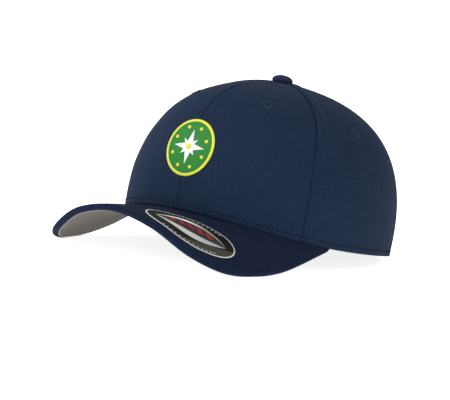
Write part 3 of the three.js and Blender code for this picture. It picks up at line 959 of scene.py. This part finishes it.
def taper(turn):
    """The peak thins towards its two corners, where its cloth is sewn in."""
    return 1 - PEAK_TAPER["thin"] * smooth_step(np.abs(turn) / PEAK_ROOT, PEAK_TAPER["start"], 1.0)


def lay_peak(bm, turn, out, lift):
    """Lays a pattern on the peak, with its cloth map."""
    move_verts(bm, on_peak(turn, out, lift))
    lay_cloth_map(bm, peak_point(turn, np.clip(out, 0, 1))[..., :2])


def row_on_peak(row, side, deep, raised):
    """A line of places on the peak, some way in from its edge, and its normals above or, at -1, below."""
    turn = np.linspace(-1, 1, LINE_POINTS) * PEAK_END * UNDER["short"]
    out = 1 - row / peak_reach(turn)
    kept = out * peak_reach(turn) > PEAK_ROWS["clear"]
    turn, out = turn[kept], out[kept]
    return on_peak(turn, out, -deep * taper(turn) + raised), peak_normal(turn, out) * side


class CapPeak(bpy.types.Operator):
    """Cover the peak: navy on top, rolled over the edge, and grey below"""

    bl_idname = "cap.peak"
    bl_label = "Peak"

    def execute(self, context):
        settings = context.scene.cap_cloth
        self.cover_top(settings)
        self.cover_underside(settings)
        self.sew_rows(settings)
        return {"FINISHED"}

    def cover_top(self, settings):
        stations = peak_stations()
        bm, shares = flat_grid(PEAK_GRID["columns"], len(stations) - 1)
        share, inset, depth = stations[np.rint(shares[:, 1] * (len(stations) - 1)).astype(int)].T
        turn = PEAK_END * (2 * shares[:, 0] - 1) * np.where(share < 0, PEAK_CORE["longer"], 1)
        out = share * (1 - inset / np.maximum(peak_reach(turn), PEAK_ROLL["least_reach"]))
        groove = np.where(depth == 0, row_grooves(turn, out), 0)
        lay_peak(bm, turn, out, -depth * taper(turn) - groove)
        bmesh.ops.remove_doubles(bm, verts=bm.verts, dist=1e-6)
        bmesh.ops.holes_fill(bm, edges=bm.edges, sides=0)
        bmesh.ops.recalc_face_normals(bm, faces=bm.faces)
        # The peak's twill is painted darker, as shade.
        twill = woven_material("peak twill", settings.peak_navy_painted_shade, settings.weave)
        press_on_floor(finish_piece("peak_top_cloth", bm, twill, "navy_twill", ["peak_top"]))

    def cover_underside(self, settings):
        bm, shares = flat_grid(PEAK_GRID["columns"], PEAK_GRID["under_rows"])
        turn = PEAK_END * UNDER["short"] * (2 * shares[:, 0] - 1)
        border = np.minimum(UNDER["border"] / peak_reach(turn), UNDER["widest_border"])
        out = (1 - border) * shares[:, 1]
        edge = UNDER["edge_turn"] * smooth_step(shares[:, 1], UNDER["edge_start"], 1.0)
        relief = row_grooves(turn, out) * UNDER["groove_share"] + edge
        lay_peak(bm, turn, out, -UNDER["bottom"] * taper(turn) + relief)
        turn_faces(bm, (0, 0, 1))
        grey = woven_material("grey cloth", settings.grey, settings.weave, slub=0.2, roughness=0.85)
        piece = finish_piece("peak_under_cloth", bm, grey, "grey_cloth", ["peak_under"])
        thicken(piece, UNDER["wall"])
        press_on_floor(piece)

    def sew_rows(self, settings):
        pitch = cloth("stitch_pitch") * PEAK_ROWS["pitch"]
        sizes = (pitch, pitch * PEAK_ROWS["length"], cloth("stitch_width"))
        groove, bottom = PEAK_ROWS["groove"], UNDER["bottom"]
        pressed_in = groove * UNDER["groove_share"]
        top = [row_on_peak(row, 1, 0, -groove) for row in stitch_rows()]
        under = [row_on_peak(row, -1, bottom, pressed_in) for row in stitch_rows()]
        edge = [row_on_peak(UNDER["border"] + EDGING["in"], -1, bottom, 0)]
        edge_sizes = [EDGING[size] for size in ("pitch", "length", "width")]
        pale, paler = ([part * by for part in settings.grey] for by in (PEAK_ROWS["paler"], EDGING["paler"]))
        for name, rows, size, colour, slot in (
                ("peak_top_stitching", top, sizes, settings.peak_navy_painted_shade, "navy_twill"),
                ("peak_under_stitching", under, sizes, pale, "grey_cloth"),
                ("peak_under_edging", edge, edge_sizes, paler, "grey_cloth")):
            sew(name, rows, size, thread_material(name.replace("_", " "), colour, 0.75, 0.05), slot)


# Sweatband

BAND = {"foot": 0.02, "back_foot": 1.8, "rise_start": 1.2, "rise_end": 1.9, "height": 32.0, "depth": 3.3,
        "wall": 0.9, "back_joint": 0.3, "pad": 0.5, "seam": 0.35, "seam_up": 5, "seam_width": 0.9,
        "radius": 90, "columns": 240, "rows": 28, "coarser": 1.6}


class CapSweatband(bpy.types.Operator):
    """Sew in the sweatband"""

    bl_idname = "cap.sweatband"
    bl_label = "Sweatband"

    def execute(self, context):
        settings = context.scene.cap_cloth
        bm, shares = flat_grid(BAND["columns"], BAND["rows"])
        turn = (math.pi - BAND["back_joint"] / 2 / RIM["half_length"]) * (2 * shares[:, 0] - 1)
        raised = smooth_step(np.abs(turn), BAND["rise_start"], BAND["rise_end"])
        foot = BAND["foot"] + (BAND["back_foot"] - BAND["foot"]) * raised
        height = foot + (BAND["height"] - foot) * shares[:, 1]
        pad = BAND["pad"] * np.sin(np.pi * shares[:, 1]) ** 0.6
        seam = BAND["seam"] * bump_at(height - foot - BAND["seam_up"], BAND["seam_width"])
        up = up_at_height(turn, height)
        move_verts(bm, on_crown(turn, up, -BAND["depth"] - pad + seam))
        lay_cloth_map(bm, np.stack([turn * BAND["radius"], height], -1))
        turn_faces(bm, HEAD_MIDDLE, -1)
        twill = woven_material("band cloth", settings.band, settings.weave * BAND["coarser"], slub=0.15)
        thicken(finish_piece("sweatband_cloth", bm, twill, "band_cloth", ["sweatband"]), BAND["wall"])
        return {"FINISHED"}


# Badge

BADGE = {"up": 0.195, "base": 0.45, "inset": 0.8, "cells": 110, "relief": 0.05,
         "row": 0.5, "step": 3.2, "step_shift": 0.37, "step_sharpness": 8}
BADGE_FACE = CLOTH_GAP + BADGE["base"]
BORDER = {"width": 1.9, "height": 0.42, "threads": 110, "steps": 440, "sides": 12, "spun_radius": 10}
STAR = {"long": 11.0, "wide": 1.9, "short": 7.0, "narrow": 1.5, "points": 8, "wall": 0.25, "grid": (10, 40),
        "hollow": 0.8, "root": 0.45, "widest": 0.3, "tip": 0.06, "row": 0.45, "rise": 0.32}
DOTS = {"count": 8, "inset": 5.2, "radius": 1.15, "lift": 0.1, "middle_radius": 1.9, "middle_lift": 0.35,
        "row": 0.42, "rise": 0.45}
THREAD_RISE = 0.06


def lay_badge(bm, xy, lift):
    """Lays flat points of the badge on the front of the crown."""
    turn, up = lay_on(crown_point, crown_normal, (0.0, BADGE["up"]), 0.0, np.asarray(xy, float))
    move_verts(bm, on_crown(turn, up, lift))


def satin_leaf(angle, long, wide):
    """One point of the star, worked in satin stitch across its length."""
    bm, shares = flat_grid(*STAR["grid"])
    across, along = 2 * shares[:, 0] - 1, shares[:, 1]
    root, widest = STAR["root"], STAR["widest"]
    swelling = root + (1 - root) * along / widest
    half = wide * np.minimum(swelling, (1 - along) / (1 - widest)) + STAR["tip"]
    padded = STAR["rise"] + THREAD_RISE * ridges(along * long / STAR["row"])
    x, y = across * half, STAR["hollow"] + along * (long - STAR["hollow"])
    c, s = math.cos(angle), math.sin(angle)
    lift = BADGE_FACE + padded * np.sqrt(np.maximum(0, 1 - across ** 2))
    lay_badge(bm, np.stack([x * c - y * s, x * s + y * c], -1), lift)
    turn_faces(bm, HEAD_MIDDLE)
    return bm


def padded_dot(x, y, radius, raised):
    """A small dot, worked in satin stitch."""
    bm = bmesh.new()
    bmesh.ops.create_uvsphere(bm, u_segments=20, v_segments=10, radius=1)
    ball = np.array([vert.co for vert in bm.verts])
    rise = DOTS["rise"] + THREAD_RISE * ridges(ball[:, 0] * radius / DOTS["row"])
    lay_badge(bm, ball[:, :2] * radius + (x, y), BADGE_FACE + rise * ball[:, 2] + raised)
    return bm


class CapBadgePiece(bpy.types.Operator):
    """Embroider the badge on the front"""

    bl_idname = "cap.badge"
    bl_label = "Badge"

    def execute(self, context):
        badge = context.scene.cap_badge
        size = np.array([badge.half_width, badge.half_height]) / MM
        self.embroider_field(badge, size)
        self.embroider_border(badge, size)
        self.embroider_star(badge)
        self.embroider_dots(badge, size)
        return {"FINISHED"}

    def embroider_field(self, badge, size):
        bm, disc = round_pattern(BADGE["cells"])
        x, y = (disc * (size - BADGE["inset"])).T
        rows = y / BADGE["row"]
        steps = ridges(x / BADGE["step"] + np.floor(rows) * BADGE["step_shift"]) ** BADGE["step_sharpness"]
        lay_badge(bm, np.stack([x, y], -1), BADGE_FACE + BADGE["relief"] * (ridges(rows) - steps))
        turn_faces(bm, HEAD_MIDDLE)
        thread = thread_material("badge ground thread", badge.field, 0.55, 0.25)
        thicken(finish_piece("badge_field", bm, thread, "badge_thread", ["front_badge"]), BADGE["base"])

    def embroider_border(self, badge, size):
        turns = np.linspace(0, 2 * math.pi, BORDER["sides"], endpoint=False)
        around = BORDER["spun_radius"]
        bm = spin_profile([(around + math.cos(bend), math.sin(bend)) for bend in turns], BORDER["steps"])
        ring = np.array([vert.co for vert in bm.verts])
        angle = np.arctan2(ring[:, 1], ring[:, 0])
        away = np.hypot(ring[:, 0], ring[:, 1]) - around
        half_width = BORDER["width"] / 2
        direction = np.stack([np.cos(angle), np.sin(angle)], -1)
        xy = direction * (size - half_width) + direction * (away * half_width)[:, None]
        height = BORDER["height"] + THREAD_RISE * ridges(BORDER["threads"] * angle / (2 * math.pi))
        lay_badge(bm, xy, BADGE_FACE - BADGE["base"] / 2 + ring[:, 2] * height)
        bmesh.ops.recalc_face_normals(bm, faces=bm.faces)
        finish_piece("badge_border", bm, thread_material("badge border thread", badge.border), "badge_thread")

    def embroider_star(self, badge):
        bm = bmesh.new()
        for point in range(STAR["points"]):
            long, wide = (STAR["short"], STAR["narrow"]) if point % 2 else (STAR["long"], STAR["wide"])
            join(bm, satin_leaf(2 * math.pi * point / STAR["points"], long, wide))
        thread = thread_material("badge star thread", badge.star)
        thicken(finish_piece("badge_star", bm, thread, "badge_thread"), STAR["wall"])

    def embroider_dots(self, badge, size):
        bm = bmesh.new()
        for k in range(DOTS["count"]):
            angle = 2 * math.pi * (k + 0.5) / DOTS["count"]
            x, y = (math.sin(angle), math.cos(angle)) * (size - DOTS["inset"])
            join(bm, padded_dot(x, y, DOTS["radius"], DOTS["lift"]))
        join(bm, padded_dot(0.0, 0.0, DOTS["middle_radius"], DOTS["middle_lift"]))
        finish_piece("badge_dots", bm, thread_material("badge dot thread", badge.border), "badge_thread")


# Sticker

STICKER = {"angle": 21.45, "out": 0.633, "slant": 12.5, "thick": 0.35, "cells": 64}
# Bands of the print across the sticker, in shares of its half width and bent like its outline, and the edge
# of the painted glare at one end.
PRINT_AND_GLARE = {"bend": 1.56, "lean": 0.35, "corner_lean": 0.75, "corner": (0.70, 0.74)}
CRESCENT_ABOVE = (0.54, 0.72)
CRESCENT_BELOW = (-0.50, -0.15)
# Where the upper crescent's painted shading runs from light to dark.
CRESCENT_PAINTED_SHADE = (-0.15, 0.25)
CRESCENT_STRIPES = {"count": 110.0, "threshold": -0.1, "along": (0.1, 0.8)}
BAR_ROW = {"across": (0.22, 0.5), "along": (-0.58, 0.5), "count": 30.0, "threshold": -0.4, "rough": 0.16}
# Places from the middle to the outline, as the square of the share of the way.
SILVER_RIM = 0.945
DOT_ARCS = {"from_middle": (0.74, 0.85), "reach": 0.62, "count": 52.0, "threshold": 0.1}


def sticker_material(sticker):
    """Silver foil printed black: a bright rim, two foil crescents, a row of red bars and two arcs of dots,
    with painted glare in olive over one end.
    """
    material, nodes, shader = new_material("sticker foil", Roughness=0.5, Specular_IOR_Level=0.12)
    calc, mix, between = nodes.calc, nodes.mix, nodes.between
    place = nodes.map("cloth")
    axes = nodes.parts(place)
    x = calc("DIVIDE", axes[0], sticker.half_long)
    y = calc("DIVIDE", axes[1], sticker.half_short)
    x_squared = calc("MULTIPLY", x, x)
    from_middle = calc("ADD", x_squared, calc("MULTIPLY", y, y))

    level = calc("DIVIDE", y, calc("MAXIMUM", calc("MULTIPLY_ADD", x_squared, -PRINT_AND_GLARE["bend"], 1.0), 1e-3))
    slanted = calc("MULTIPLY_ADD", y, PRINT_AND_GLARE["lean"], x)
    bars = nodes.stripes(slanted, BAR_ROW["count"], BAR_ROW["threshold"])
    rough_level = calc("MULTIPLY_ADD", nodes.noise(place, 0.002), BAR_ROW["rough"], level)
    red = calc("MULTIPLY", calc("MULTIPLY", between(rough_level, *BAR_ROW["across"]), bars),
               between(x, *BAR_ROW["along"]))

    dots = nodes.stripes(calc("ARCTAN2", y, x), DOT_ARCS["count"], DOT_ARCS["threshold"])
    dots = calc("MULTIPLY", dots, calc("LESS_THAN", calc("ABSOLUTE", x), DOT_ARCS["reach"]))
    dots = calc("MULTIPLY", dots, between(from_middle, *DOT_ARCS["from_middle"]))

    streaks = nodes.noise(place, 0.004, 3.0, (0.12, 3.0, 1.0))
    streaked = mix(streaks, full(sticker.silver, 0.45), full(sticker.silver, 1.15))
    stripes = nodes.stripes(slanted, CRESCENT_STRIPES["count"], CRESCENT_STRIPES["threshold"])
    striped = calc("MULTIPLY", stripes, nodes.fade(x, *CRESCENT_STRIPES["along"]))
    lower_foil = mix(striped, streaked, full(sticker.shadow, 1.5))
    # Painted shading: the upper crescent's foil is painted light at one end and dark at the other, like foil
    # catching the light.
    painted_shaded_upper_foil = mix(nodes.fade(x, *CRESCENT_PAINTED_SHADE), full(sticker.silver, 1.2), full(sticker.silver, 0.42))
    # Painted glare: one end of the black print is painted olive, for a reflection on the glossy foil.
    corner = nodes.fade(calc("SUBTRACT", calc("MULTIPLY", x, PRINT_AND_GLARE["corner_lean"]), y), *PRINT_AND_GLARE["corner"])
    middle = between(level, CRESCENT_BELOW[1], CRESCENT_ABOVE[0])
    print_and_glare_colour = mix(corner, full(sticker.black), full(sticker.painted_glare))
    for share, colour in (
            (calc("MULTIPLY", middle, streaks), full(sticker.shadow)),
            (between(level, *CRESCENT_ABOVE), painted_shaded_upper_foil),
            (between(level, *CRESCENT_BELOW), lower_foil),
            (calc("MULTIPLY", dots, 0.7), full(sticker.silver, 0.7)),
            (red, full(sticker.red)),
            (calc("GREATER_THAN", from_middle, SILVER_RIM), full(sticker.silver))):
        print_and_glare_colour = mix(share, print_and_glare_colour, colour)
    nodes.put(shader.inputs["Base Color"], print_and_glare_colour)
    return material


class CapStickerPiece(bpy.types.Operator):
    """Lay the oval sticker on the peak"""

    bl_idname = "cap.sticker"
    bl_label = "Sticker"

    def execute(self, context):
        sticker = context.scene.cap_sticker
        bm, disc = round_pattern(STICKER["cells"])
        xy = disc * (sticker.half_long / MM, sticker.half_short / MM)
        centre = (math.radians(STICKER["angle"]), STICKER["out"])
        turn, out = lay_on(peak_point, peak_normal, centre, math.radians(STICKER["slant"]), xy)
        move_verts(bm, on_peak(turn, out, np.full(len(turn), CLOTH_GAP / 2 + STICKER["thick"])))
        lay_cloth_map(bm, xy)
        turn_faces(bm, (0, 0, -1))
        piece = finish_piece("sticker_foil", bm, sticker_material(sticker), "sticker_foil", ["peak_sticker"])
        thicken(piece, STICKER["thick"])
        return {"FINISHED"}


# Stage

CAMERA = {"place": (0.85098, -1.26428, 0.20128), "aim": (-0.02154, 0.02058, 0.02923), "roll": 7.06}
LIGHTS = {
    "key_light": {"place": (-0.9, -1.6, 1.4), "size": 0.9, "share": 1.0},
    "rear_light": {"place": (1.6, 1.2, 0.9), "size": 0.8, "share": 0.1},
}
LIGHT_AIM = (0.0, 0.0, 0.06)
# The sky changes with height, and one side of it is dimmer.
SKY = {"heights": (0.15, 0.9), "side": (0.83, 0.55, 0.0), "side_reach": (0.2, 0.9), "side_share": 0.45}
WHITE = (1.0, 1.0, 1.0, 1.0)


def aim_at(place, aim, roll=0.0):
    """A matrix that looks from a place to an aim, turned by a roll in degrees."""
    back = (Vector(place) - Vector(aim)).normalized()
    right = Vector((0, 0, 1)).cross(back).normalized()
    turn = Matrix((right, back.cross(right), back)).transposed()
    return Matrix.Translation(place) @ (turn @ Matrix.Rotation(math.radians(roll), 3, "Z")).to_4x4()


class CapStageSet(bpy.types.Operator):
    """Set the floor, the lights and the camera"""

    bl_idname = "cap.stage"
    bl_label = "Stage"

    def execute(self, context):
        stage = context.scene.cap_stage
        self.lay_floor(stage)
        context.scene.world = self.light_sky(stage)
        for name, lamp in LIGHTS.items():
            light = bpy.data.lights.new(name, "AREA")
            light.shape = "DISK"
            light.size = lamp["size"]
            light.energy = stage.key * lamp["share"]
            put_in_scene(name, light).matrix_world = aim_at(lamp["place"], LIGHT_AIM)
        context.scene.view_settings.view_transform = "Standard"
        camera = bpy.data.cameras.new("camera")
        camera.lens = stage.lens
        camera.sensor_width = 36.0
        camera.clip_end = 100.0
        viewer = put_in_scene("camera", camera)
        viewer.matrix_world = aim_at(CAMERA["place"], CAMERA["aim"], CAMERA["roll"])
        context.scene.camera = viewer
        return {"FINISHED"}

    def lay_floor(self, stage):
        bm = bmesh.new()
        bmesh.ops.create_grid(bm, x_segments=1, y_segments=1, size=stage.floor_size / 2)
        mesh = mesh_of("floor", bm)
        material, nodes, shader = new_material(
            "pale floor", Roughness=0.9, Emission_Color=WHITE, Emission_Strength=stage.glow)
        place = nodes.add("ShaderNodeTexCoord").outputs["Object"]
        tone = nodes.mix(nodes.noise(place, 0.4), full((0.86, 0.86, 0.86)), full((0.90, 0.90, 0.90)))
        nodes.put(shader.inputs["Base Color"], tone)
        mesh.materials.append(material)
        put_in_scene("floor", mesh)

    def light_sky(self, stage):
        world = bpy.data.worlds.new("studio")
        world.use_nodes = True
        nodes = Nodes(world.node_tree)
        sky = world.node_tree.nodes["Background"]
        sky.inputs["Color"].default_value = WHITE
        place = nodes.add("ShaderNodeTexCoord").outputs["Generated"]
        by_height = nodes.fade(nodes.parts(place)["Z"], *SKY["heights"], stage.sky, stage.sky * stage.zenith)
        by_side = nodes.fade(nodes.along(place, SKY["side"]), *SKY["side_reach"], 1.0, SKY["side_share"])
        nodes.put(sky.inputs["Strength"], nodes.calc("MULTIPLY", by_height, by_side))
        return world


# Panel in the sidebar

STEPS = (CapStageSet, CapPanels, CapStitches, CapEyelets, CapButton, CapPeak, CapSweatband, CapBadgePiece,
         CapStickerPiece)
SETTINGS = {"cap_cloth": CapCloth, "cap_badge": CapBadge, "cap_sticker": CapSticker, "cap_stage": CapStage}


class CapSidebar(bpy.types.Panel):
    """Lists the cap's pieces and their settings"""

    bl_idname = "VIEW3D_PT_cap"
    bl_label = "Six-panel cap"
    bl_space_type = "VIEW_3D"
    bl_region_type = "UI"
    bl_category = "Cap"

    def draw(self, context):
        for step in STEPS:
            self.layout.operator(step.bl_idname)
        for name, group in SETTINGS.items():
            box = self.layout.box()
            for setting in group.__annotations__:
                box.prop(getattr(context.scene, name), setting)


def register():
    for kind in (*SETTINGS.values(), *STEPS, CapSidebar):
        bpy.utils.register_class(kind)
    for name, group in SETTINGS.items():
        setattr(bpy.types.Scene, name, bpy.props.PointerProperty(type=group))


def unregister():
    for name in SETTINGS:
        delattr(bpy.types.Scene, name)
    for kind in (CapSidebar, *reversed(STEPS), *reversed(SETTINGS.values())):
        bpy.utils.unregister_class(kind)


def main():
    register()
    bpy.ops.cap.stage()
    bpy.ops.cap.panels()
    bpy.ops.cap.stitches()
    bpy.ops.cap.eyelets()
    bpy.ops.cap.button()
    bpy.ops.cap.peak()
    bpy.ops.cap.sweatband()
    bpy.ops.cap.badge()
    bpy.ops.cap.sticker()


if __name__ == "__main__":
    main()
